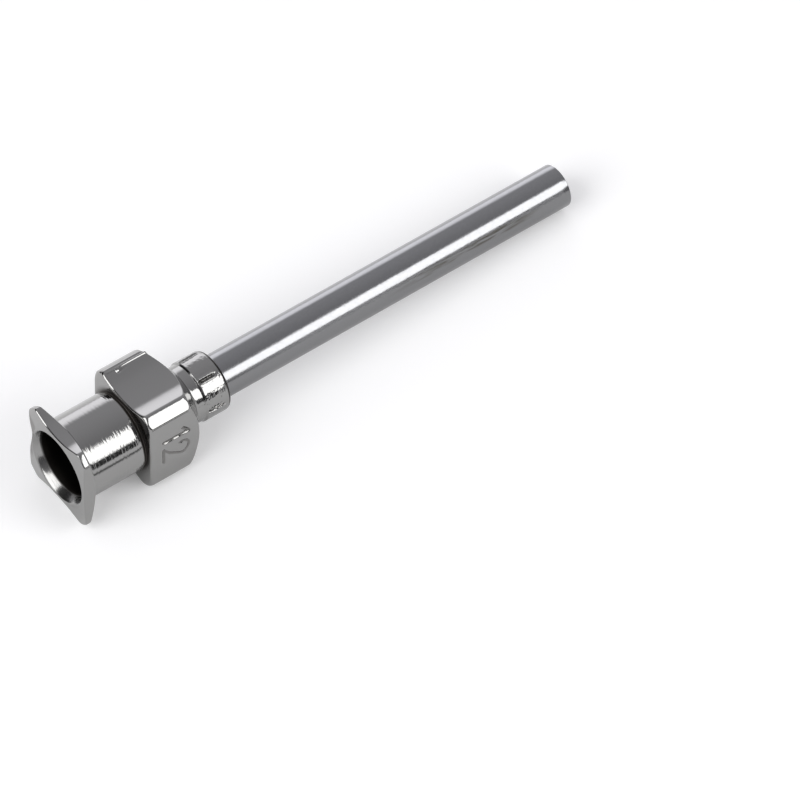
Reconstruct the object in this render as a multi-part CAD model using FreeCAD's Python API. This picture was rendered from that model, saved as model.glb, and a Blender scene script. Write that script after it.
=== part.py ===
"""All-metal dispensing needle, 12 gauge, with a luer-lock hub.

One turned brass hub carries one stainless tube. The hub is made along +X, from the
face of its luer socket at x = 0 to the tip of the tube. Its square bar shows as the
lug plate at the socket and as the wrench block, and the rest is turned round. At the
end both pieces are laid down the way the loose needle comes to rest: on the front
corners of the block and on the tip of the tube, with +Z up. All sizes are millimetres.
"""
import FreeCAD, Part
import math
import os

from FreeCAD import Vector

# Tube, 12 gauge
TUBE_DIAMETER = 2.77
TUBE_WALL = 0.19
TUBE_FREE_LENGTH = 25.4
TUBE_EDGE_BREAK = 0.03

# Square bar that the hub is turned from
ACROSS_PLAIN_FLATS = 5.54       # between the two flat sides, -Y and +Y
ACROSS_SCOOPED_FLATS = 5.34     # between the two hollow sides, -Z and +Z, at their middle
SCOOP_RADIUS = 6.70             # of the hollow sides
BAR_EDGE_ROUNDING = 0.16

# Turned outline of the hub, stations along the axis
LUG_DIAMETER = 7.40             # over the rounded corners
LUG_PLATE_THICKNESS = 0.50      # at a corner, where the bevel has thinned it
LUG_BEVEL_ANGLE = 20.0          # from the plane of the plate
FRONT_FACE_ANGLE = 4.0          # the socket's face falls back a little to its corners
BARREL_DIAMETER = 5.06
BLOCK_START = 4.65
BLOCK_LENGTH = 2.90             # at a corner
BLOCK_BEVEL_ANGLE = 31.0
BLOCK_BACK_ANGLE = 2.0
UNDERCUT_WIDTH = 0.32
UNDERCUT_DEPTH = 0.14
NECK_DIAMETER = 3.64
COLLAR_DIAMETER = 3.82
COLLAR_START = 9.28
COLLAR_LENGTH = 1.82
COLLAR_FRONT_ROUNDING = 0.30
COLLAR_REAR_BEVEL = 0.09

# Bores of the hub
LUER_MOUTH_DIAMETER = 4.30
LUER_TAPER = 0.06               # loss of diameter per length
LUER_DEPTH = 7.60
LUER_MOUTH_ROUNDING = 0.38
TUBE_FIT_CLEARANCE = 0.0        # on the diameter: the collar is crimped on to the tube
COLLAR_MOUTH_RELIEF = 0.11      # on the radius, round the tube
COLLAR_MOUTH_DEPTH = 0.30

# Crimp marks in the collar
CRIMP_COUNT = 6
CRIMP_FIRST_ANGLE = 30.0        # from +Z towards -Y
CRIMP_LENGTH = 1.25
CRIMP_DEPTH = 0.07
CRIMP_TOOL_RADIUS = 0.16
CRIMP_SETBACK = 0.22            # from the shoulder of the collar

# Stations that follow from the sizes above
BLOCK_END = BLOCK_START + BLOCK_LENGTH
COLLAR_END = COLLAR_START + COLLAR_LENGTH
TIP = COLLAR_END + TUBE_FREE_LENGTH
LUG_RADIUS = LUG_DIAMETER / 2
BARREL_RADIUS = BARREL_DIAMETER / 2
NECK_RADIUS = NECK_DIAMETER / 2
COLLAR_RADIUS = COLLAR_DIAMETER / 2
TUBE_RADIUS = TUBE_DIAMETER / 2
TUBE_BORE_RADIUS = TUBE_RADIUS - TUBE_WALL
LUER_MOUTH_RADIUS = LUER_MOUTH_DIAMETER / 2
LUER_FLOOR_RADIUS = LUER_MOUTH_RADIUS - LUER_TAPER * LUER_DEPTH / 2

X_AXIS = Vector(1, 0, 0)
ORIGIN = Vector(0, 0, 0)


def turned(profile, fillets=()):
    """Revolve a closed outline of (x, radius) points round the X axis."""
    points = [Vector(x, 0, radius) for x, radius in profile]
    wire = Part.makePolygon(points + points[:1])
    solid = Part.Face(wire).revolve(ORIGIN, X_AXIS, 360)
    for station, radius, rounding in fillets:
        solid = solid.makeFillet(rounding, rings(solid, station, radius))
    return solid


def rings(solid, station, radius):
    """Circular edges of a turned solid at one station and radius."""
    found = []
    for edge in solid.Edges:
        if not isinstance(edge.Curve, Part.Circle):
            continue
        centre = edge.Curve.Center
        on_axis = abs(centre.x - station) < 1e-4 and abs(centre.y) + abs(centre.z) < 1e-4
        if on_axis and abs(edge.Curve.Radius - radius) < 1e-4:
            found.append(edge)
    return found


def slope(angle, height):
    """Run along the axis of a face at this angle from the cross plane."""
    return height * math.tan(math.radians(angle))


def scoop_edge():
    """Height at which a scooped side meets the turned corner or the flat side."""
    cutter_axis = ACROSS_SCOOPED_FLATS / 2 + SCOOP_RADIUS
    turned_height = (LUG_RADIUS ** 2 - SCOOP_RADIUS ** 2 + cutter_axis ** 2) / (2 * cutter_axis)
    flat_height = cutter_axis - math.sqrt(SCOOP_RADIUS ** 2 - (ACROSS_PLAIN_FLATS / 2) ** 2)
    return min(turned_height, flat_height)


def bar_blank():
    """A length of the bar: flat sides, scooped sides, turned corners and rounded edges."""
    length = BLOCK_END + LUG_RADIUS
    width, height = ACROSS_PLAIN_FLATS, 2 * LUG_RADIUS
    blank = Part.makeBox(length, width, height, Vector(0, -width / 2, -height / 2))
    cutter_axis = ACROSS_SCOOPED_FLATS / 2 + SCOOP_RADIUS
    for side in (1, -1):
        start = Vector(0, 0, side * cutter_axis)
        blank = blank.cut(Part.makeCylinder(SCOOP_RADIUS, length, start, X_AXIS))
    blank = blank.common(Part.makeCylinder(LUG_RADIUS, length, ORIGIN, X_AXIS))
    long_edges = [edge for edge in blank.Edges
                  if abs(edge.BoundBox.XLength - edge.Length) < 1e-6]
    return blank.makeFillet(BAR_EDGE_ROUNDING, long_edges)


def turned_envelope():
    """Everything the lathe leaves, corners of the bar included."""
    lug_drop = LUG_RADIUS - BARREL_RADIUS
    lug_end = LUG_PLATE_THICKNESS + slope(LUG_BEVEL_ANGLE, lug_drop)
    front_fall = slope(FRONT_FACE_ANGLE, LUG_RADIUS - LUER_MOUTH_RADIUS)
    block_back = BLOCK_START + slope(BLOCK_BACK_ANGLE, lug_drop)
    undercut_radius = BARREL_RADIUS - UNDERCUT_DEPTH
    block_front = BLOCK_END + slope(BLOCK_BEVEL_ANGLE, LUG_RADIUS - NECK_RADIUS)
    outline = [
        (0, 0),
        (0, LUER_MOUTH_RADIUS),
        (front_fall, LUG_RADIUS),
        (LUG_PLATE_THICKNESS, LUG_RADIUS),
        (lug_end, BARREL_RADIUS),
        (BLOCK_START - UNDERCUT_WIDTH, BARREL_RADIUS),
        (BLOCK_START - UNDERCUT_WIDTH + UNDERCUT_DEPTH, undercut_radius),
        (BLOCK_START, undercut_radius),
        (block_back, LUG_RADIUS),
        (BLOCK_END, LUG_RADIUS),
        (block_front, NECK_RADIUS),
        (COLLAR_START, NECK_RADIUS),
        (COLLAR_START + COLLAR_REAR_BEVEL, COLLAR_RADIUS),
        (COLLAR_END, COLLAR_RADIUS),
        (COLLAR_END, 0),
    ]
    return turned(outline, [(COLLAR_END, COLLAR_RADIUS, COLLAR_FRONT_ROUNDING)])


def hub_bore():
    """Luer socket, the bore that holds the tube, and the relief at the collar's mouth."""
    bore_radius = TUBE_RADIUS + TUBE_FIT_CLEARANCE / 2
    relief_radius = bore_radius + COLLAR_MOUTH_RELIEF
    past_end = COLLAR_END + LUG_RADIUS
    socket = turned([
        (-LUG_RADIUS, 0),
        (-LUG_RADIUS, LUER_MOUTH_RADIUS + LUER_TAPER * LUG_RADIUS / 2),
        (LUER_DEPTH, LUER_FLOOR_RADIUS),
        (LUER_DEPTH, bore_radius),
        (COLLAR_END - COLLAR_MOUTH_DEPTH, bore_radius),
        (COLLAR_END - COLLAR_MOUTH_DEPTH, relief_radius),
        (past_end, relief_radius),
        (past_end, 0),
    ])
    return socket


def crimp_marks():
    """Short round-bottomed grooves that the crimping jaws leave along the collar."""
    start = COLLAR_START + CRIMP_SETBACK
    axis_height = COLLAR_RADIUS - CRIMP_DEPTH + CRIMP_TOOL_RADIUS
    groove = Part.makeCylinder(CRIMP_TOOL_RADIUS, CRIMP_LENGTH, Vector(start, 0, axis_height), X_AXIS)
    marks = []
    for index in range(CRIMP_COUNT):
        mark = groove.copy()
        mark.rotate(ORIGIN, X_AXIS, CRIMP_FIRST_ANGLE + index * 360 / CRIMP_COUNT)
        marks.append(mark)
    return marks


def luer_hub():
    """The nickel-plated brass hub, one turned piece."""
    hub = turned_envelope().common(bar_blank())
    hub = hub.cut(hub_bore())
    hub = hub.makeFillet(LUER_MOUTH_ROUNDING, rings(hub, 0, LUER_MOUTH_RADIUS))
    return hub.cut(crimp_marks())


def needle_tube():
    """The stainless tube, from the floor of the socket to the blunt tip."""
    return turned([
        (LUER_DEPTH, TUBE_BORE_RADIUS),
        (LUER_DEPTH, TUBE_RADIUS),
        (TIP - TUBE_EDGE_BREAK, TUBE_RADIUS),
        (TIP, TUBE_RADIUS - TUBE_EDGE_BREAK),
        (TIP, TUBE_BORE_RADIUS),
    ])


def lay_down(shapes):
    """Pitch the needle on to the block's front corners and the tip, and centre it."""
    contact_drop = scoop_edge() - TUBE_RADIUS
    pitch = math.degrees(math.atan2(contact_drop, TIP - BLOCK_END))
    for shape in shapes:
        shape.rotate(ORIGIN, Vector(0, 1, 0), pitch)
    box = Part.makeCompound(shapes).optimalBoundingBox(False, False)
    for shape in shapes:
        shape.translate(Vector(-box.Center.x, -box.Center.y, -box.ZMin))
    return shapes


def main():
    names = ["luer_hub", "needle_tube"]
    shapes = lay_down([luer_hub(), needle_tube()])
    os.makedirs("parts", exist_ok=True)
    for name, shape in zip(names, shapes):
        shape.exportStep(f"parts/{name}.step")
        print(name, "solids", len(shape.Solids), "valid", shape.isValid(), "volume", round(shape.Volume, 3))


main()
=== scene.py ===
"""Dressed model of an all-metal dispensing needle: hub, tube, floor, lights and camera.

Shapes are made in the needle's own frame, in millimetres: the axis runs along +X from
the face of the luer socket, and the numbered flat faces -Y. lay_down() then brings them
to the pose in which the loose needle rests, in metres.
"""
import math

import bmesh
import bpy
import numpy as np
from mathutils import Matrix, Quaternion, Vector


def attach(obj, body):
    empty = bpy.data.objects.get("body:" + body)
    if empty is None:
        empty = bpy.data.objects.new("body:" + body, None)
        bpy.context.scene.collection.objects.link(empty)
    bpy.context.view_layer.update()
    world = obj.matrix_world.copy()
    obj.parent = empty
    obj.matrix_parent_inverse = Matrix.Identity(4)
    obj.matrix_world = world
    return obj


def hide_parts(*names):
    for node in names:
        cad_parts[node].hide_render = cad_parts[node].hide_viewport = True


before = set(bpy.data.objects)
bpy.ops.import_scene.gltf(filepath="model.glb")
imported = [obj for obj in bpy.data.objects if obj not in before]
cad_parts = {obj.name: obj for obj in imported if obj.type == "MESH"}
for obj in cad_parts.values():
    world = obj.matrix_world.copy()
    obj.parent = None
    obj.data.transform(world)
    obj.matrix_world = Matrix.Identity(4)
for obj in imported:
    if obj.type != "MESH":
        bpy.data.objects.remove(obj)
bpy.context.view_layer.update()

MM = 0.001
TURN = 2 * math.pi

# Sizes of the needle, as in the CAD source where no comment says otherwise
ACROSS_PLAIN_FLATS = 5.54
ACROSS_SCOOPED_FLATS = 5.34
SCOOP_RADIUS = 6.70
LUG_RADIUS = 3.70
LUG_PLATE_THICKNESS = 0.50
LUG_BEVEL_ANGLE = 20.0
FRONT_FACE_ANGLE = 4.0
BARREL_RADIUS = 2.53
BLOCK_START = 4.65
BLOCK_END = 7.55
BLOCK_BEVEL_ANGLE = 31.0
BLOCK_BACK_ANGLE = 2.0
SCOOP_LIP = 0.085               # how much higher a scoop ends than its arc, made here alone
SCOOP_LIP_RISE = (0.9, 2.0)     # distances from the scoop's middle between which it rises
BAR_EDGE_BLEND = 0.12           # width of the soft edge, a radius of 0.16 in the CAD source
UNDERCUT_WIDTH = 0.22           # 0.32 in the CAD source
UNDERCUT_DEPTH = 0.14
NECK_RADIUS = 1.82
COLLAR_RADIUS = 1.91
COLLAR_START = 9.28
COLLAR_END = 11.10
COLLAR_REAR_BEVEL = 0.09
LUER_MOUTH_RADIUS = 2.15
LUER_TAPER = 0.06
LUER_DEPTH = 7.60
COLLAR_MOUTH_RELIEF = 0.11
COLLAR_MOUTH_DEPTH = 0.30
CRIMP_COUNT = 6
CRIMP_FIRST_ANGLE = 28.0        # from +Z towards -Y, 30 in the CAD source
TUBE_RADIUS = 1.385
TUBE_BORE_RADIUS = 1.195
TUBE_EDGE_BREAK = 0.03
TIP = 36.50

# How the needle lies: pitched on to the block's front corners and its tip
CUTTER_AXIS = ACROSS_SCOOPED_FLATS / 2 + SCOOP_RADIUS
CONTACT_HEIGHT = (LUG_RADIUS ** 2 - SCOOP_RADIUS ** 2 + CUTTER_AXIS ** 2) / (2 * CUTTER_AXIS)
PITCH = math.atan2(CONTACT_HEIGHT - TUBE_RADIUS, TIP - BLOCK_END)
LYING_CENTRE = 18.2012          # of the pitched box, along X
LYING_UNDERSIDE = -3.4392       # of the pitched box, along Z
LAY_DOWN = (Matrix.Translation(Vector((-LYING_CENTRE, 0, -LYING_UNDERSIDE)) * MM)
            @ Matrix.Rotation(PITCH, 4, "Y") @ Matrix.Scale(MM, 4))


# Grids of points turned round the needle's axis

def slope(angle, height):
    """Run along the axis of a face at this angle from the cross plane."""
    return height * math.tan(math.radians(angle))


def soft_minimum(a, b, width):
    """The lower of two values, with their crossing rounded over this width."""
    blend = np.maximum(width - np.abs(a - b), 0) / width
    return np.minimum(a, b) - blend ** 2 * width / 4


def smooth_step(value, low, high):
    """0 below the low value, 1 above the high one, and smooth between them."""
    part = np.clip((value - low) / (high - low), 0, 1)
    return part * part * (3 - 2 * part)


def bar_radius(angles, turned_radius=LUG_RADIUS):
    """Distance from the axis to the bar's surface, with its long edges rounded."""
    off_bar = LUG_RADIUS + 1
    across = np.maximum(np.abs(np.cos(angles)), 1e-6)
    flat = np.minimum(ACROSS_PLAIN_FLATS / 2 / across, off_bar)
    reach = CUTTER_AXIS * np.abs(np.sin(angles))
    inside = reach ** 2 - CUTTER_AXIS ** 2 + SCOOP_RADIUS ** 2
    scooped = np.where(inside > 0, reach - np.sqrt(np.maximum(inside, 0)), off_bar)
    off_middle = np.abs(scooped * np.cos(angles))
    scooped = scooped + SCOOP_LIP * smooth_step(off_middle, *SCOOP_LIP_RISE)
    scooped = np.minimum(scooped, off_bar)
    turned = turned_radius + 0 * angles
    return soft_minimum(soft_minimum(turned, flat, BAR_EDGE_BLEND), scooped, BAR_EDGE_BLEND)


def long_edges():
    """Angles of the eight edges between the bar's sides and its turned corners."""
    flat_edge = math.acos(ACROSS_PLAIN_FLATS / 2 / LUG_RADIUS)
    scoop_edge = math.asin(CONTACT_HEIGHT / LUG_RADIUS)
    edges = []
    for edge in (flat_edge, scoop_edge):
        edges += [edge, math.pi - edge, math.pi + edge, TURN - edge]
    return edges


def section_angles():
    """Angles round the axis, closer together at the bar's edges and at the marks."""
    plain_step, edge_step = math.radians(2.0), math.radians(0.6)
    crimp_step, least_step = math.radians(0.8), math.radians(0.2)
    scoop_rise_at_burr = 0.26
    angles = list(np.arange(0, TURN, plain_step))
    for edge in long_edges():
        angles += [edge + offset * edge_step for offset in range(-5, 6)]
    for height_in_number in np.arange(-1.30, 1.45, 0.05):
        angles.append(math.pi - math.atan2(height_in_number, ACROSS_PLAIN_FLATS / 2))
    for y_near_burr in np.arange(1.60, 1.99, 0.016):
        angles.append(math.atan2(ACROSS_SCOOPED_FLATS / 2 + scoop_rise_at_burr, y_near_burr))
    for mark in range(CRIMP_COUNT):
        centre = math.radians(90 + CRIMP_FIRST_ANGLE) + mark * TURN / CRIMP_COUNT
        angles += [centre + offset * crimp_step for offset in range(-8, 9)]
    angles = np.unique(np.round(np.mod(angles, TURN), 5))
    keep = np.concatenate([[True], np.diff(angles) > least_step])
    return angles[keep]


def unit(vectors):
    return vectors / np.maximum(np.linalg.norm(vectors, axis=-1, keepdims=True), 1e-9)


def rounded_corner(before, corner, after, rounding, steps):
    """Points of an arc that rounds one corner of the outline, for every angle at once."""
    if steps == 0:
        return [corner]
    rounding = np.broadcast_to(rounding, len(corner))[:, None]
    back, ahead = unit(before - corner), unit(after - corner)
    half = np.arccos(np.clip((back * ahead).sum(-1, keepdims=True), -1, 1)) / 2
    tangent = rounding / np.tan(half)
    centre = corner + unit(back + ahead) * rounding / np.sin(half)
    start, end = corner + back * tangent - centre, corner + ahead * tangent - centre
    sweep = math.pi - 2 * half
    points = []
    for step in range(steps + 1):
        part = step / steps
        mix = (np.sin((1 - part) * sweep) * start + np.sin(part * sweep) * end) / np.sin(sweep)
        points.append(centre + mix)
    return points


def turned_rows(outline, count, front=()):
    """Rows of (x, radius) along a closed outline whose corners are rounded.

    Each corner is (x, radius, rounding, arc steps, steps to the next corner), and its x
    and radius are numbers or one value per angle. The front's rows, where there are any,
    come first and join the last corner to the first one.
    """
    corners = []
    for x, radius, *_ in outline:
        corners.append(np.stack([np.broadcast_to(x, count), np.broadcast_to(radius, count)], -1))
    into_first = front[-1] if len(front) else corners[-1]
    out_of_last = front[0] if len(front) else corners[0]
    befores = [into_first] + corners[:-1]
    afters = corners[1:] + [out_of_last]
    arcs = []
    for corner, before, after, (*_, rounding, steps, _run) in zip(corners, befores, afters, outline):
        arcs.append(rounded_corner(before, corner, after, rounding, steps))
    rows = list(front)
    for index, arc in enumerate(arcs):
        rows += arc
        run = outline[index][-1]
        start, end = arc[-1], (arcs[index + 1][0] if index + 1 < len(arcs) else rows[0])
        for step in range(1, run):
            rows.append(start + (end - start) * step / run)
    return np.array(rows)


def ring_mesh(name, rows, angles, dents=()):
    """A closed mesh from rows of (x, radius) at each angle, pressed in by the dents.

    Its attribute "pressed" holds how deep, in millimetres, each point was pressed.
    """
    x, radius = rows[..., 0], rows[..., 1]
    pressed = np.zeros(x.shape)
    for dent in dents:
        pressed = pressed + dent(x, radius, angles)
    radius = radius - pressed
    points = np.stack([x, radius * np.cos(angles), radius * np.sin(angles)], -1)
    row_count, angle_count = x.shape
    first = np.arange(row_count)[:, None] * angle_count
    here = np.arange(angle_count)[None, :]
    following = (here + 1) % angle_count
    above = (first + angle_count) % (row_count * angle_count)
    quads = np.stack([first + here, first + following, above + following, above + here], -1)
    mesh = bpy.data.meshes.new(name)
    mesh.from_pydata(points.reshape(-1, 3).tolist(), [], quads.reshape(-1, 4).tolist())
    depth = mesh.attributes.new("pressed", "FLOAT", "POINT")
    depth.data.foreach_set("value", pressed.ravel().astype(np.float32))
    mesh.shade_smooth()
    return mesh


def face_outwards(mesh):
    """Turn a closed mesh right side out."""
    form = bmesh.new()
    form.from_mesh(mesh)
    bmesh.ops.recalc_face_normals(form, faces=form.faces)
    form.to_mesh(mesh)
    form.free()


# Marks pressed into the hub

NUMBER_FOOT, NUMBER_HEAD = 5.62, 7.38
NUMBER_DEPTH = 0.080
NUMBER_STROKE = 0.19            # half the width of a stroke
NUMBER_LIP = 0.008
NUMBER_LIP_WIDTH = 0.04


def stroke_distance(x, z, stroke):
    """Distance of points on the marked flat from a stroke of straight pieces."""
    nearest = np.full(x.shape, 99.0)
    for (x0, z0), (x1, z1) in zip(stroke, stroke[1:]):
        along = ((x - x0) * (x1 - x0) + (z - z0) * (z1 - z0)) / ((x1 - x0) ** 2 + (z1 - z0) ** 2)
        along = np.clip(along, 0, 1)
        gap = np.hypot(x - x0 - along * (x1 - x0), z - z0 - along * (z1 - z0))
        nearest = np.minimum(nearest, gap)
    return nearest


def number_strokes():
    """Plain figures 1 and 2, read with the tube upwards: (x, z) on the marked flat."""
    one_z, nose_x, nose_z = 0.78, 6.98, 1.20
    one = [(NUMBER_FOOT, one_z), (NUMBER_HEAD, one_z), (nose_x, nose_z)]
    bowl_x, bowl_z, bowl_radius = 6.90, -0.42, 0.48
    two = []
    for turn in range(-15, 196, 15):
        angle = math.radians(turn)
        two.append((bowl_x + bowl_radius * math.sin(angle), bowl_z + bowl_radius * math.cos(angle)))
    waist_x, foot_start, foot_end = 6.05, 0.12, -1.00
    two += [(waist_x, bowl_z), (NUMBER_FOOT, foot_start), (NUMBER_FOOT, foot_end)]
    return [one, two]


def pressed_numbers(x, radius, angles):
    """Depth of the numbers, with a low lip beside each stroke and an uneven 1."""
    y, z = radius * np.cos(angles), radius * np.sin(angles)
    on_flat = (y < 0.5 - ACROSS_PLAIN_FLATS / 2) & (x > BLOCK_START + 0.2) & (x < BLOCK_END + 0.4)
    one, two = [stroke_distance(x, z, stroke) for stroke in number_strokes()]
    gap = np.minimum(one, two)
    uneven = 1.3 + 0.25 * np.sin(x * 9.0) + 0.15 * np.sin(x * 23.0)
    depth = NUMBER_DEPTH * np.where(one < two, uneven, 1)
    groove = (1 - smooth_step(gap, 0.0, NUMBER_STROKE)) * depth
    past_lip = (gap - NUMBER_STROKE - NUMBER_LIP_WIDTH) / NUMBER_LIP_WIDTH
    lip = np.exp(-past_lip ** 2) * NUMBER_LIP
    return np.where(on_flat, groove - lip, 0)


BURR_LINE = [(5.0, 1.885), (7.7, 1.865)]        # (x, y) on the upper side
BURR_STEEPNESS = 1.7
NICK_LINE = [(5.52, 1.70), (6.20, 1.66)]
NICK_STEEPNESS = 1.4


def burr_and_nick(x, radius, angles):
    """A long fine burr near one edge of the upper side, and the small nick beside it."""
    y, z = radius * np.cos(angles), radius * np.sin(angles)
    on_side = (z > ACROSS_SCOOPED_FLATS / 2 - 0.1) & (radius > BARREL_RADIUS + 0.07)
    burr_width = 0.056 + 0.014 * smooth_step(x, 5.2, 6.6)
    burr = np.maximum(burr_width - stroke_distance(x, y, BURR_LINE), 0)
    nick_width = 0.10 - 0.07 * smooth_step(x, 5.55, 6.1) + 0.008 * np.sin(x * 40)
    nick = np.maximum(nick_width - stroke_distance(x, y, NICK_LINE), 0)
    return np.where(on_side, nick * NICK_STEEPNESS - burr * BURR_STEEPNESS, 0)


# Front of the lug plate

MOUTH_RADIUS = 2.42             # of the lead-in cone, at the plate's face
MOUTH_OFFSET = 0.09             # how far the cone's centre lies off the axis
MOUTH_OFFSET_ANGLE = 210.0      # which way, from +Y towards +Z
MOUTH_ANGLE = 29.0              # of the lead-in cone, from the axis
MOUTH_DEPTH = 0.72
MOUTH_EDGE_BLEND = 0.12
PLATE_EDGE_ROUNDING = 0.09
WORN_EDGE_ROUNDING = 0.08
WORN_EDGE_ANGLE = 66.0          # of the side whose edges are worn rounder than the rest
WORN_EDGE_SPREAD = 17.0


def worn_edge(angles):
    """1 where the edges are worn most, and falling off to both sides."""
    return np.exp(-((np.degrees(angles) - WORN_EDGE_ANGLE) / WORN_EDGE_SPREAD) ** 2)


def front_rows(side, angles, steps=26):
    """Rows over the plate's front: lead-in cone, coned face and rounded rim."""
    mouth = MOUTH_RADIUS + MOUTH_OFFSET * np.cos(angles - math.radians(MOUTH_OFFSET_ANGLE))
    rounding = PLATE_EDGE_ROUNDING + WORN_EDGE_ROUNDING * worn_edge(angles)
    start = LUER_MOUTH_RADIUS - LUER_TAPER / 2 * MOUTH_DEPTH
    rows = []
    for step in range(steps + 1):
        radius = start + (side - start) * (1 - math.cos(math.pi * step / steps)) / 2
        outwards = np.clip(radius - side + rounding, 0, rounding)
        lead_in = (mouth - radius) / math.tan(math.radians(MOUTH_ANGLE))
        rim = rounding - np.sqrt(rounding ** 2 - outwards ** 2)
        face = slope(FRONT_FACE_ANGLE, radius - LUER_MOUTH_RADIUS) + rim
        x = -soft_minimum(-face, -np.minimum(lead_in, MOUTH_DEPTH), MOUTH_EDGE_BLEND)
        rows.append(np.stack([x, radius + 0 * side], -1))
    return np.array(rows)


RIM_DENT_ANGLE = 16.0
RIM_DENT_DEPTH = 0.36
RIM_DENT_SPREADS = (16.0, 30.0)         # past its middle and before it
FULL_CORNER_ANGLE = 228.0               # of the corner that was turned less than the others
FULL_CORNER_HEIGHT = 0.12
FULL_CORNER_SPREAD = 9.0


def rim_dent(x, radius, angles):
    """The shallow dent in one side of the plate's rim."""
    away = np.mod(np.degrees(angles) - RIM_DENT_ANGLE + 180, 360) - 180
    near = np.exp(-(away / np.where(away > 0, *RIM_DENT_SPREADS)) ** 2)
    on_rim = smooth_step(radius, 2.3, 2.7) * (1 - smooth_step(x, 0.45, 0.9))
    return near * on_rim * RIM_DENT_DEPTH


# Outlines of both pieces

RECESS_EDGE_ROUNDING = 0.04
BLOCK_BACK_ROUNDING = 0.12      # twice that near the bar's long edges
BLOCK_FRONT_ROUNDING = 0.09
BLOCK_FRONT_EXTRA = 0.26        # added to it near the bar's long edges
COLLAR_FRONT_ROUNDING = 0.30
TUBE_SIDES = 96


def hub_outline(side, plate_side, near_long_edge, worn):
    """Corners of the hub's outline behind its front, cut off at the bar's surface."""
    lug_drop = LUG_RADIUS - BARREL_RADIUS
    floor_radius = LUER_MOUTH_RADIUS - LUER_TAPER * LUER_DEPTH / 2
    lug_back = LUG_PLATE_THICKNESS + slope(LUG_BEVEL_ANGLE, LUG_RADIUS - plate_side)
    lug_end = LUG_PLATE_THICKNESS + slope(LUG_BEVEL_ANGLE, lug_drop)
    undercut_radius = BARREL_RADIUS - UNDERCUT_DEPTH
    undercut_start = BLOCK_START - UNDERCUT_WIDTH
    back_slope = slope(BLOCK_BACK_ANGLE, lug_drop) / (LUG_RADIUS - undercut_radius)
    block_back = BLOCK_START + back_slope * (side - undercut_radius)
    block_front = BLOCK_END + slope(BLOCK_BEVEL_ANGLE, LUG_RADIUS - side)
    cone_end = BLOCK_END + slope(BLOCK_BEVEL_ANGLE, LUG_RADIUS - NECK_RADIUS)
    relief_radius = TUBE_RADIUS + COLLAR_MOUTH_RELIEF
    relief_floor = COLLAR_END - COLLAR_MOUTH_DEPTH
    back_rounding = BLOCK_BACK_ROUNDING * (1 + near_long_edge) + WORN_EDGE_ROUNDING * worn
    front_rounding = BLOCK_FRONT_ROUNDING + BLOCK_FRONT_EXTRA * near_long_edge
    return [
        (lug_back, plate_side, 0.08, 5, 4),
        (lug_end, BARREL_RADIUS, 0.12, 5, 8),
        (undercut_start, BARREL_RADIUS, RECESS_EDGE_ROUNDING, 3, 1),
        (undercut_start + UNDERCUT_DEPTH, undercut_radius, RECESS_EDGE_ROUNDING, 3, 1),
        (BLOCK_START, undercut_radius, RECESS_EDGE_ROUNDING, 3, 6),
        (block_back, side, back_rounding, 6, 56),
        (block_front, side, front_rounding, 6, 10),
        (cone_end, NECK_RADIUS, 0.15, 6, 6),
        (COLLAR_START, NECK_RADIUS, 0.03, 3, 1),
        (COLLAR_START + COLLAR_REAR_BEVEL, COLLAR_RADIUS, 0.05, 3, 30),
        (COLLAR_END, COLLAR_RADIUS, COLLAR_FRONT_ROUNDING, 8, 1),
        (COLLAR_END, relief_radius, RECESS_EDGE_ROUNDING, 3, 2),
        (relief_floor, relief_radius, 0.03, 2, 2),
        (relief_floor, TUBE_RADIUS, 0, 0, 1),
        (LUER_DEPTH, TUBE_RADIUS, 0, 0, 1),
        (LUER_DEPTH, floor_radius, 0.06, 2, 10),
    ]


def hub_mesh():
    """The hub with every mark but its crimps, which a node tree adds."""
    angles = section_angles()
    side = bar_radius(angles)
    off_full_corner = (np.degrees(angles) - FULL_CORNER_ANGLE) / FULL_CORNER_SPREAD
    plate_side = bar_radius(angles, LUG_RADIUS + FULL_CORNER_HEIGHT * np.exp(-off_full_corner ** 2))
    edge_gaps = np.abs(angles[:, None] - np.array(long_edges())[None, :]).min(1)
    near_long_edge = np.exp(-(edge_gaps / math.radians(3.5)) ** 2)
    outline = hub_outline(side, plate_side, near_long_edge, worn_edge(angles))
    rows = turned_rows(outline, len(angles), list(front_rows(plate_side, angles)))
    return ring_mesh("luer_hub_body", rows, angles, [pressed_numbers, burr_and_nick, rim_dent])


def tube_mesh():
    """Drawn tube with a broken edge at its cut end."""
    angles = np.arange(0, TURN, TURN / TUBE_SIDES)
    outline = [
        (LUER_DEPTH, TUBE_BORE_RADIUS, 0, 0, 1),
        (LUER_DEPTH, TUBE_RADIUS, 0, 0, 60),
        (TIP, TUBE_RADIUS, TUBE_EDGE_BREAK, 4, 2),
        (TIP, TUBE_BORE_RADIUS, TUBE_EDGE_BREAK, 4, 30),
    ]
    return ring_mesh("needle_tube_body", turned_rows(outline, len(angles)), angles)


# Node trees written as expressions

class Socket:
    """A value in a node tree. Arithmetic on it adds Math nodes to the tree."""

    def __init__(self, maker, source):
        self.maker = maker
        self.source = source

    def output(self, key):
        """Another output of the node that this value comes from."""
        return Socket(self.maker, self.source.node.outputs[key])

    def __add__(self, other):
        return self.maker.math("ADD", self, other)

    def __radd__(self, other):
        return self.maker.math("ADD", other, self)

    def __sub__(self, other):
        return self.maker.math("SUBTRACT", self, other)

    def __rsub__(self, other):
        return self.maker.math("SUBTRACT", other, self)

    def __mul__(self, other):
        return self.maker.math("MULTIPLY", self, other)

    def __rmul__(self, other):
        return self.maker.math("MULTIPLY", other, self)

    def __truediv__(self, other):
        return self.maker.math("DIVIDE", self, other)

    def __rtruediv__(self, other):
        return self.maker.math("DIVIDE", other, self)

    def __abs__(self):
        return self.maker.math("ABSOLUTE", self)


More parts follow.
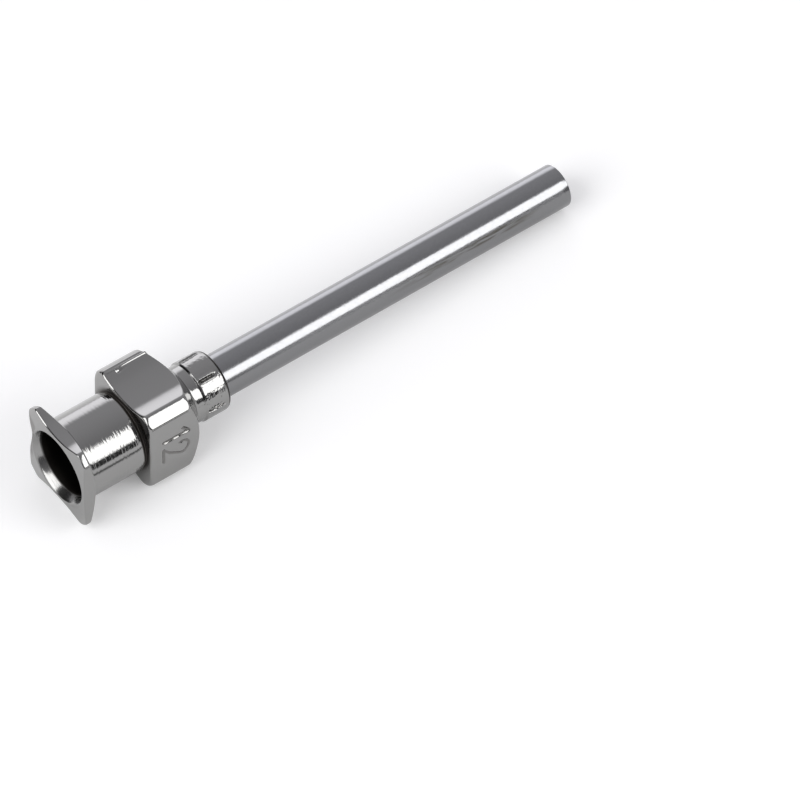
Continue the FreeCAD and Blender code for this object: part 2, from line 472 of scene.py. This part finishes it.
class NodeMaker:
    """Adds nodes to one tree and links them."""

    def __init__(self, tree):
        self.tree = tree

    def feed(self, socket, value):
        """Link a value in the tree to a socket, or set the socket to a plain value."""
        if isinstance(value, Socket):
            self.tree.links.new(value.source, socket)
        else:
            socket.default_value = value

    def node(self, kind, settings, values, output=0):
        """A node with its settings made first, then its sockets filled by name or place."""
        made = self.tree.nodes.new(kind)
        for name, value in settings.items():
            setattr(made, name, value)
        for key, value in values.items():
            self.feed(made.inputs[key], value)
        return Socket(self, made.outputs[output]) if made.outputs else made

    def math(self, operation, *values):
        return self.node("ShaderNodeMath", {"operation": operation}, dict(enumerate(values)))

    def step(self, value, low, high):
        """0 below the low value, 1 above the high one, and smooth between them."""
        return self.node("ShaderNodeMapRange", {"interpolation_type": "SMOOTHSTEP", "clamp": True},
                         {"Value": value, "From Min": low, "From Max": high, "To Min": 0.0, "To Max": 1.0})

    def zone(self, value, rise, fall):
        """1 between two edges, and smooth over each edge's low and high value."""
        return self.step(value, *rise) * (1 - self.step(value, *fall))

    def noise(self, vector, scale, detail, roughness):
        values = {"Vector": vector, "Scale": scale, "Detail": detail, "Roughness": roughness}
        return self.node("ShaderNodeTexNoise", {"noise_dimensions": "3D"}, values)

    def vector(self, x, y, z):
        return self.node("ShaderNodeCombineXYZ", {}, {0: x, 1: y, 2: z})

    def blend(self, share, first, second):
        """The first colour at share 0 and the second at 1."""
        settings = {"data_type": "RGBA", "blend_type": "MIX"}
        return self.node("ShaderNodeMix", settings, {0: share, 6: first, 7: second}, output=2)


# Crimp marks, made by Geometry Nodes

CRIMP_INPUTS = {"Count": CRIMP_COUNT, "First angle": math.radians(90 + CRIMP_FIRST_ANGLE),
                "Start": 9.45, "End": 10.95, "Shortened by": 0.9, "Fades over": 2.2,
                "Lowest radius": 1.65, "Half width": 0.13, "Depth": 0.16, "Lip": 0.040,
                "Lip width": 0.06, "Waviness": 0.16, "Seed": 4.0}


def crimp_tree():
    """Presses wavy grooves with raised lips along a collar, evenly spaced round it."""
    tree = bpy.data.node_groups.new("crimp_marks", "GeometryNodeTree")
    tree.interface.new_socket("Geometry", in_out="OUTPUT", socket_type="NodeSocketGeometry")
    tree.interface.new_socket("Geometry", in_out="INPUT", socket_type="NodeSocketGeometry")
    for name in CRIMP_INPUTS:
        tree.interface.new_socket(name, in_out="INPUT", socket_type="NodeSocketFloat")
    tree.interface.new_socket("Material", in_out="INPUT", socket_type="NodeSocketMaterial")
    maker = NodeMaker(tree)
    given = maker.node("NodeGroupInput", {}, {})
    (count, first_angle, start, end, shortened_by, fades_over, lowest, half_width,
     depth, lip, lip_width, waviness, seed) = map(given.output, CRIMP_INPUTS)
    x = maker.node("ShaderNodeSeparateXYZ", {}, {0: maker.node("GeometryNodeInputPosition", {}, {})})
    y, z = x.output(1), x.output(2)
    radius = maker.math("SQRT", y * y + z * z)
    spacing = TURN / count
    turns = (maker.math("ARCTAN2", z, y) - first_angle) / spacing + 0.5
    mark = maker.math("FLOOR", turns)
    wave = maker.noise(maker.vector(x * 4.5, mark * 3.7, seed), 1.0, 3.0, 0.7) - 0.5
    strength = maker.noise(maker.vector(x * 6.0, mark * 5.3, seed + 9.0), 1.0, 2.0, 0.6) * 1.6 + 0.2
    length = maker.noise(maker.vector(mark * 7.1, seed, 0.5), 1.0, 0.0, 0.5)
    end = end - length * shortened_by
    across = abs((turns - mark - 0.5) * spacing * radius + wave * 2.0 * waviness)
    along = maker.zone(x, (start - 0.07, start + 0.10), (end - 0.20, end + 0.08))
    along = along * maker.math("GREATER_THAN", radius, lowest)
    fading = 1 - (x - start) / fades_over
    groove = (1 - maker.step(across, 0.02, half_width)) * depth * strength * fading
    from_lip = (across - half_width * 1.2) / lip_width
    ridge = maker.math("EXPONENT", 0 - from_lip * from_lip) * lip
    press = (ridge - groove) * along / radius
    moved = maker.node("GeometryNodeSetPosition", {}, {
        "Geometry": given, "Offset": maker.vector(0.0, y * press, z * press)})
    # the crimps' depth is added to "pressed", where the material paints shade
    pressed = maker.node("GeometryNodeInputNamedAttribute", {"data_type": "FLOAT"}, {"Name": "pressed"})
    noted = maker.node("GeometryNodeStoreNamedAttribute", {"data_type": "FLOAT", "domain": "POINT"}, {
        "Geometry": moved, "Name": "pressed", "Value": pressed + groove * along})
    real = maker.node("GeometryNodeRealizeInstances", {}, {"Geometry": noted})
    dressed = maker.node("GeometryNodeSetMaterial", {}, {
        "Geometry": real, "Material": given.output("Material")})
    maker.node("NodeGroupOutput", {}, {0: dressed})
    return tree


def crimped(mesh, name, material):
    """The mesh with its collar crimped, as an object with a plain mesh of one material."""
    shown = bpy.data.objects.new(name, mesh)
    bpy.context.scene.collection.objects.link(shown)
    tree = crimp_tree()
    modifier = shown.modifiers.new("crimp_marks", "NODES")
    modifier.node_group = tree
    for item in tree.interface.items_tree:
        if item.name in CRIMP_INPUTS:
            modifier[item.identifier] = float(CRIMP_INPUTS[item.name])
        if item.name == "Material":
            modifier[item.identifier] = material
    ready = shown.evaluated_get(bpy.context.evaluated_depsgraph_get())
    plain = bpy.data.meshes.new_from_object(ready)
    shown.modifiers.clear()
    shown.data = plain
    return shown


# Materials

def grey(level):
    return (level, level, level, 1.0)


NICKEL = (0.318, 0.316, 0.310, 1.0)
# painted shade: NICKEL_SHADE in the undercut groove and the pressed marks, DEEP_SHADE as black in the
# socket, the collar's mouth relief and its front rim
NICKEL_SHADE = (0.075, 0.067, 0.060, 1.0)
DEEP_SHADE = (0.020, 0.018, 0.016, 1.0)
STEEL = (0.304, 0.306, 0.313, 1.0)
STEEL_DULL = (0.268, 0.270, 0.276, 1.0)
# painted shade for the tube's side that faces -Y
STEEL_PAINTED_SHADE = (0.232, 0.233, 0.236, 1.0)
STEEL_STAIN = (0.125, 0.120, 0.108, 1.0)
STAIN_SIDE = (-0.91, 0.42)      # the way the stained side faces: its y and z
PAINTED_SHADE_SIDE = (-1.0, 0.09)     # and the side that is painted darker, as shade


def needle_coordinates(maker):
    """The place in the needle's own frame in millimetres, and its x, y and z."""
    back = Matrix.Rotation(-PITCH, 3, "Y") @ Vector((LYING_CENTRE, 0, LYING_UNDERSIDE))
    laid = maker.node("ShaderNodeTexCoord", {}, {}, output="Object")
    place = maker.node("ShaderNodeMapping", {"vector_type": "POINT"}, {
        "Vector": laid, "Location": back, "Rotation": (0, -PITCH, 0), "Scale": (1 / MM,) * 3})
    x = maker.node("ShaderNodeSeparateXYZ", {}, {0: place})
    return place, x, x.output(1), x.output(2)


def metal(name):
    """A new material, its node maker and its shader, with a metal's constant values."""
    material = bpy.data.materials.new(name)
    material.use_nodes = True
    maker = NodeMaker(material.node_tree)
    shader = material.node_tree.nodes["Principled BSDF"]
    shader.inputs["Metallic"].default_value = 1.0
    return material, maker, shader


def roughen(maker, shader, distance, height):
    """Raise the surface by a height map, whose full height is this many millimetres."""
    values = {"Strength": 1.0, "Distance": distance * MM, "Height": height}
    maker.feed(shader.inputs["Normal"], maker.node("ShaderNodeBump", {}, values))


def hub_places(maker, x, z, radius):
    """Masks of the barrel, collar and mouth, and of the painted shade: in the undercut groove, in the
    pressed marks, and painted black in the deep recesses and on the collar's front rim.
    """
    barrel = maker.zone(x, (0.9, 1.2), (BLOCK_START - 0.40, BLOCK_START - 0.25))
    barrel = barrel * maker.step(radius, BARREL_RADIUS - 0.18, BARREL_RADIUS - 0.08)
    collar = maker.step(x, COLLAR_START + 0.07, COLLAR_START + 0.17)
    collar = collar * maker.step(radius, COLLAR_RADIUS - 0.31, COLLAR_RADIUS - 0.21)
    mouth = (1 - maker.step(x, 0.5, 0.7)) * (1 - maker.step(radius, 2.4, 2.55))
    # painted shade in the undercut groove and on the block's back face beside it
    groove_start = (BLOCK_START - 0.29, BLOCK_START - 0.23)
    groove_end = (BLOCK_START + 0.03, BLOCK_START + 0.11)
    groove = maker.zone(x, groove_start, groove_end)
    groove = groove * (1 - maker.step(radius, BARREL_RADIUS - 0.13, BARREL_RADIUS + 0.42))
    # painted shade in the pressed marks: the numbers, the crimps and the rim's dent, but not on the upper
    # side
    pressed = maker.node("ShaderNodeAttribute", {"attribute_name": "pressed"}, {}, output="Fac")
    marks = maker.step(pressed, 0.02, 0.07) * (1 - maker.step(z, 2.2, 2.4))
    # painted black shade down the luer bore, in the collar's mouth relief and on the collar's rounded
    # front rim
    socket = maker.zone(x, (0.34, 0.56), (LUER_DEPTH + 0.4, LUER_DEPTH + 0.8))
    socket = socket * (1 - maker.step(radius, LUER_MOUTH_RADIUS - 0.01, LUER_MOUTH_RADIUS + 0.07))
    relief = maker.step(x, COLLAR_END - 0.40, COLLAR_END - 0.30) * (1 - maker.step(radius, 1.50, 1.62))
    rim_start = (COLLAR_END - 0.26, COLLAR_END - 0.18)
    rim_end = (COLLAR_END - 0.11, COLLAR_END - 0.07)
    rim = maker.zone(x, rim_start, rim_end)
    deep = maker.math("MAXIMUM", socket, maker.math("MAXIMUM", relief, rim))
    return barrel, collar, mouth, groove, marks, deep


def nickel_plate():
    """Bright nickel over turned brass: tool rings on the barrel, painted shade in the groove and the
    pressed marks, and painted black shade in the recesses and on the collar's front rim.
    """
    material, maker, shader = metal("nickel_plate")
    place, x, y, z = needle_coordinates(maker)
    radius = maker.math("SQRT", y * y + z * z)
    barrel, collar, mouth, groove, marks, deep = hub_places(maker, x, z, radius)
    cloud = maker.noise(place, 1.3, 3.0, 0.6)
    grain = maker.noise(place, 12.0, 2.0, 0.6)
    rings = maker.noise(maker.vector(x * 7.5, cloud * 0.7, radius * 5.0), 1.0, 2.5, 0.7)
    ragged = maker.noise(place, 3.2, 2.0, 0.6)
    # painted shade mixed into the base colour, and painted black where deep
    shade = maker.math("MAXIMUM", groove * 0.95, marks * 0.5)
    colour = maker.blend(deep, maker.blend(shade, NICKEL, NICKEL_SHADE), DEEP_SHADE)
    maker.feed(shader.inputs["Base Color"], colour)
    roughness = 0.09 + (cloud - 0.5) * 0.05 + (grain - 0.5) * 0.05
    roughness = roughness + shade * 0.20 + groove * 0.25 + deep * 0.3 + mouth * 0.10
    maker.feed(shader.inputs["Roughness"], roughness)
    height = rings * (0.10 + barrel * 1.1 + mouth * 0.8)
    height = height + grain * 0.10 + cloud * 0.35 + ragged * collar * 2.6
    roughen(maker, shader, 0.011, height)
    return material


def drawn_steel():
    """Stainless tube, with fine streaks along its length, painted shade on one side and a stain."""
    material, maker, shader = metal("drawn_steel")
    _, x, y, z = needle_coordinates(maker)
    streaks = maker.noise(maker.vector(x * 0.25, y * 7.0, z * 7.0), 1.0, 3.0, 0.6)
    mottle = maker.noise(maker.vector(x * 3.5, y * 5.0, z * 5.0), 1.0, 3.0, 0.6)
    smears = maker.noise(maker.vector(x * 0.5, y * 5.5, z * 5.5), 1.0, 2.5, 0.65)
    towards_stain = y * STAIN_SIDE[0] + z * STAIN_SIDE[1]
    stain = maker.step(towards_stain, TUBE_RADIUS * 0.975, TUBE_RADIUS * 0.998)
    stain = stain * maker.zone(x, (22.0, 28.0), (31.5, 35.0)) * maker.step(smears, 0.40, 0.62)
    # painted shade: the tube's side facing -Y is painted darker
    towards_painted_shade = y * PAINTED_SHADE_SIDE[0] + z * PAINTED_SHADE_SIDE[1]
    painted_shade = maker.step(towards_painted_shade, TUBE_RADIUS * 0.80, TUBE_RADIUS * 0.93) * 0.85
    clean = maker.blend(painted_shade, maker.blend(mottle, STEEL, STEEL_DULL), STEEL_PAINTED_SHADE)
    maker.feed(shader.inputs["Base Color"], maker.blend(stain, clean, STEEL_STAIN))
    maker.feed(shader.inputs["Roughness"], 0.15 + (mottle - 0.5) * 0.12)
    roughen(maker, shader, 0.003, streaks * 0.6 + mottle * 0.8)
    return material


def plain_material(name, colour):
    """A dull material without shine, such as paper or card."""
    material = bpy.data.materials.new(name)
    material.use_nodes = True
    shader = material.node_tree.nodes["Principled BSDF"]
    shader.inputs["Base Color"].default_value = colour
    shader.inputs["Roughness"].default_value = 0.8
    shader.inputs["Specular IOR Level"].default_value = 0.0
    return material


# The needle's two pieces

def lay_down(piece):
    """Bring a piece from the needle's own frame to the pose in which it rests."""
    piece.data.transform(LAY_DOWN)
    face_outwards(piece.data)
    piece.data.shade_smooth()


def dress(piece, node):
    """Let a finished piece stand for its CAD node."""
    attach(piece, "root")
    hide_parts(node)


def make_hub():
    hub = crimped(hub_mesh(), "hub", nickel_plate())
    lay_down(hub)
    dress(hub, "luer_hub")


def make_tube():
    tube = bpy.data.objects.new("tube", tube_mesh())
    bpy.context.scene.collection.objects.link(tube)
    tube.data.materials.append(drawn_steel())
    lay_down(tube)
    dress(tube, "needle_tube")


# Floor, lights and camera

def direction(azimuth, elevation):
    """Unit vector for an azimuth from +X towards +Y and an elevation, in degrees."""
    turn, rise = math.radians(azimuth), math.radians(elevation)
    return Vector((math.cos(rise) * math.cos(turn), math.cos(rise) * math.sin(turn), math.sin(rise)))


def softbox(name, azimuth, elevation, wide, tall, radiance, roll=0.0):
    """Area light that covers these angles, in degrees, as seen from the needle."""
    distance = 0.40
    lamp = bpy.data.lights.new(name, "AREA")
    lamp.shape = "RECTANGLE"
    lamp.size = 2 * distance * math.tan(math.radians(wide / 2))
    lamp.size_y = 2 * distance * math.tan(math.radians(tall / 2))
    lamp.energy = radiance * math.pi * lamp.size * lamp.size_y
    shown = bpy.data.objects.new(name, lamp)
    bpy.context.scene.collection.objects.link(shown)
    shown.visible_camera = False
    towards = direction(azimuth, elevation)
    shown.location = towards * distance
    shown.rotation_mode = "QUATERNION"
    shown.rotation_quaternion = towards.to_track_quat("Z", "Y") @ Quaternion((0, 0, 1), math.radians(roll))


def grey_plane(name, width, length, level):
    """Grey card that is seen only in the metal, flat and centred on the origin."""
    mesh = bpy.data.meshes.new(name)
    corners = [(-width / 2, -length / 2, 0), (width / 2, -length / 2, 0),
               (width / 2, length / 2, 0), (-width / 2, length / 2, 0)]
    mesh.from_pydata(corners, [], [(0, 1, 2, 3)])
    mesh.materials.append(plain_material(name, grey(level)))
    shown = bpy.data.objects.new(name, mesh)
    bpy.context.scene.collection.objects.link(shown)
    shown.visible_camera = False
    shown.visible_diffuse = False
    shown.visible_shadow = False
    return shown


def card(name, azimuth, elevation, wide, tall, level, distance):
    """Grey card that covers these angles, in degrees, as seen from the needle."""
    width = 2 * distance * math.tan(math.radians(wide / 2))
    height = 2 * distance * math.tan(math.radians(tall / 2))
    shown = grey_plane(name, width, height, level)
    towards = direction(azimuth, elevation)
    shown.location = towards * distance
    shown.rotation_mode = "QUATERNION"
    shown.rotation_quaternion = towards.to_track_quat("Z", "Y")


def lying_card(name, x, y, width, length, level):
    """Grey card that lies just over the floor, with its place and size in millimetres."""
    over_floor = 0.2
    shown = grey_plane(name, width * MM, length * MM, level)
    shown.location = Vector((x, y, over_floor)) * MM


FLOOR_GLOW = 0.18                       # to the camera
FLOOR_GLOW_BEFORE = 0.06                # in reflections, this side of the needle
FLOOR_GLOW_BEHIND = 0.28                # in reflections, beyond the needle
FLOOR_GLOW_CHANGE = (-0.002, 0.012)     # the y between which it changes, in metres


def floor_material():
    """White paper that keeps shadows, a little lighter to the camera and in reflections."""
    material = plain_material("white_floor", grey(0.90))
    maker = NodeMaker(material.node_tree)
    shader = material.node_tree.nodes["Principled BSDF"]
    camera_ray = maker.node("ShaderNodeLightPath", {}, {}, output="Is Camera Ray")
    reflected = camera_ray.output("Is Glossy Ray")
    reflected = maker.math("MAXIMUM", reflected, camera_ray.output("Is Transmission Ray"))
    place = maker.node("ShaderNodeTexCoord", {}, {}, output="Object")
    y = maker.node("ShaderNodeSeparateXYZ", {}, {0: place}, output=1)
    behind = maker.step(y, *FLOOR_GLOW_CHANGE)
    in_metal = maker.blend(behind, grey(FLOOR_GLOW_BEFORE), grey(FLOOR_GLOW_BEHIND))
    glow = maker.blend(camera_ray, maker.blend(reflected, grey(0), in_metal), grey(FLOOR_GLOW))
    maker.feed(shader.inputs["Emission Color"], glow)
    shader.inputs["Emission Strength"].default_value = 1.0
    return material


def make_floor():
    reach = 2.0
    mesh = bpy.data.meshes.new("floor")
    mesh.from_pydata([(-reach, -reach, 0), (reach, -reach, 0), (reach, reach, 0), (-reach, reach, 0)],
                     [], [(0, 1, 2, 3)])
    mesh.materials.append(floor_material())
    floor = bpy.data.objects.new("floor", mesh)
    bpy.context.scene.collection.objects.link(floor)


WALL_LEVEL = 0.34
WALL_SLOPE = 0.25               # more of it towards the middle of the walls' bright side
GLOW_LEVEL = 1.45
GLOW_EDGE = (0.872, 0.985)      # cosines of the angles from its middle where it ends and is full


def make_world():
    """Plain walls and ceiling, a little brighter behind the needle than beside the camera."""
    world = bpy.data.worlds.new("studio")
    bpy.context.scene.world = world
    world.use_nodes = True
    maker = NodeMaker(world.node_tree)
    background = world.node_tree.nodes["Background"]
    looking = maker.node("ShaderNodeTexCoord", {}, {}, output="Generated")
    towards = {"walls": direction(60, 30), "glow": direction(67, 5)}
    share = {}
    for part, middle in towards.items():
        share[part] = maker.node("ShaderNodeVectorMath", {"operation": "DOT_PRODUCT"},
                                 {0: looking, 1: middle}, output="Value")
    glow = maker.step(share["glow"], *GLOW_EDGE) * GLOW_LEVEL
    background.inputs["Color"].default_value = (0.99, 0.985, 1.03, 1)
    maker.feed(background.inputs["Strength"], WALL_LEVEL + share["walls"] * WALL_SLOPE + glow)


def make_lights():
    """Two lamps, and the cards whose reflections draw the dark and pale lines in the metal."""
    softbox("key_softbox", azimuth=-60, elevation=31.8, wide=46, tall=27.5, radiance=3.2, roll=18)
    softbox("left_softbox", azimuth=182, elevation=38, wide=46, tall=44, radiance=3.0)
    card("low_dark_card", azimuth=-93.1, elevation=8.2, wide=43.8, tall=16, level=0.05, distance=0.12)
    card("low_pale_card", azimuth=-62.2, elevation=7, wide=16, tall=13, level=0.80, distance=0.12)
    card("left_dark_card", azimuth=127, elevation=30, wide=36, tall=50, level=0.05, distance=0.30)
    lying_card("barrel_card", x=-10.0, y=-16.5, width=11.0, length=6.5, level=0.22)


CAMERA_PLACE = Vector((-109.268, -157.992, 244.293)) * MM
CAMERA_FORWARD = Vector((0.35991, 0.49247, -0.79242))
CAMERA_UP = Vector((0.49079, 0.62239, 0.60972))
CAMERA_LENS = 238.43


def make_camera():
    camera = bpy.data.objects.new("camera", bpy.data.cameras.new("camera"))
    bpy.context.scene.collection.objects.link(camera)
    camera.data.lens = CAMERA_LENS
    camera.data.sensor_width = 36
    camera.data.clip_start, camera.data.clip_end = 0.01, 10
    back = -CAMERA_FORWARD
    right = CAMERA_UP.cross(back)
    axes = Matrix((right, CAMERA_UP, back)).transposed()
    camera.matrix_world = Matrix.Translation(CAMERA_PLACE) @ axes.to_4x4()
    bpy.context.scene.camera = camera


make_hub()
make_tube()
make_floor()
make_world()
make_lights()
make_camera()
bpy.context.scene.view_settings.view_transform = "Standard"
